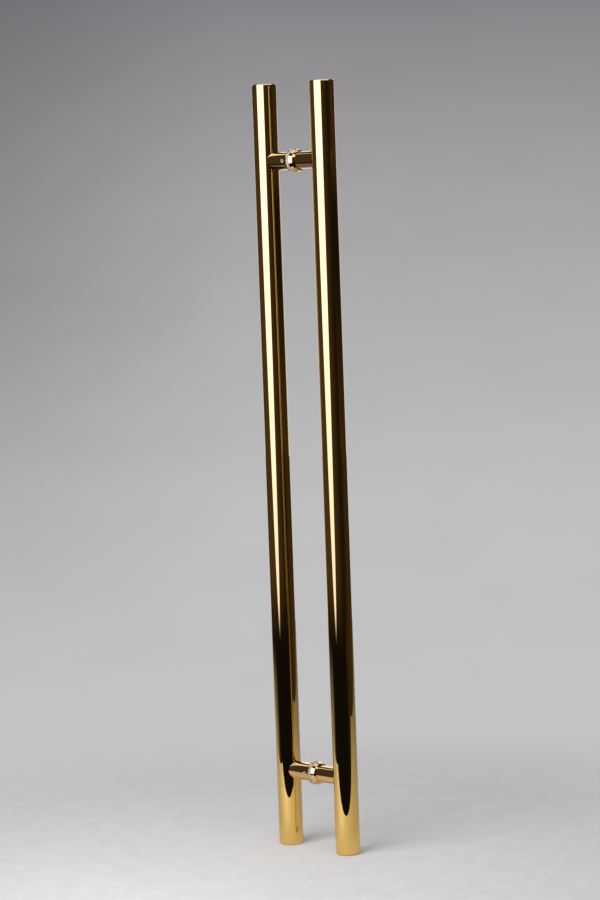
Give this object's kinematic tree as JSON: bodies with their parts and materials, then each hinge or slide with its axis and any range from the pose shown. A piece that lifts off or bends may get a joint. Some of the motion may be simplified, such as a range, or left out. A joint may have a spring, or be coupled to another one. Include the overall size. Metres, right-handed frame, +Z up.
{
  "type": "ladder pull handle",
  "caption": "Back-to-back pair of straight tubular door pulls joined by short cross posts with clamp collars and gaskets, for through-fixing to a glass door.",
  "frame": {"origin": "on the floor plane, midway between the two tube axes", "axes": "+Z up along the tubes, +X along the posts from the far tube to the near tube, -Y the side that the grub screws face"},
  "size_m": [0.1358, 0.0318, 1],
  "materials": {
    "polished_gold": "mirror polished gold coating",
    "screw_steel": "plain machined",
    "pale_plastic": "pale soft plastic"
  },
  "bodies": {
    "root": {"near_grip_tube": "polished_gold", "near_bottom_cap": "polished_gold", "near_top_cap": "polished_gold", "far_grip_tube": "polished_gold", "far_bottom_cap": "polished_gold", "far_top_cap": "polished_gold", "lower_near_insert": "screw_steel", "lower_near_post": "polished_gold", "lower_near_gasket": "pale_plastic", "lower_far_insert": "screw_steel", "lower_far_post": "polished_gold", "lower_far_gasket": "pale_plastic", "lower_collar_nut": "polished_gold", "lower_disc_washer": "polished_gold", "lower_stud": "screw_steel", "lower_post_screw": "screw_steel", "lower_clamp_nut": "screw_steel", "lower_grub_screw": "screw_steel", "upper_near_insert": "screw_steel", "upper_near_post": "polished_gold", "upper_near_gasket": "pale_plastic", "upper_far_insert": "screw_steel", "upper_far_post": "polished_gold", "upper_far_gasket": "pale_plastic", "upper_collar_nut": "polished_gold", "upper_disc_washer": "polished_gold", "upper_stud": "screw_steel", "upper_post_screw": "screw_steel", "upper_clamp_nut": "screw_steel", "upper_grub_screw": "screw_steel"}
  },
  "joints": []
}
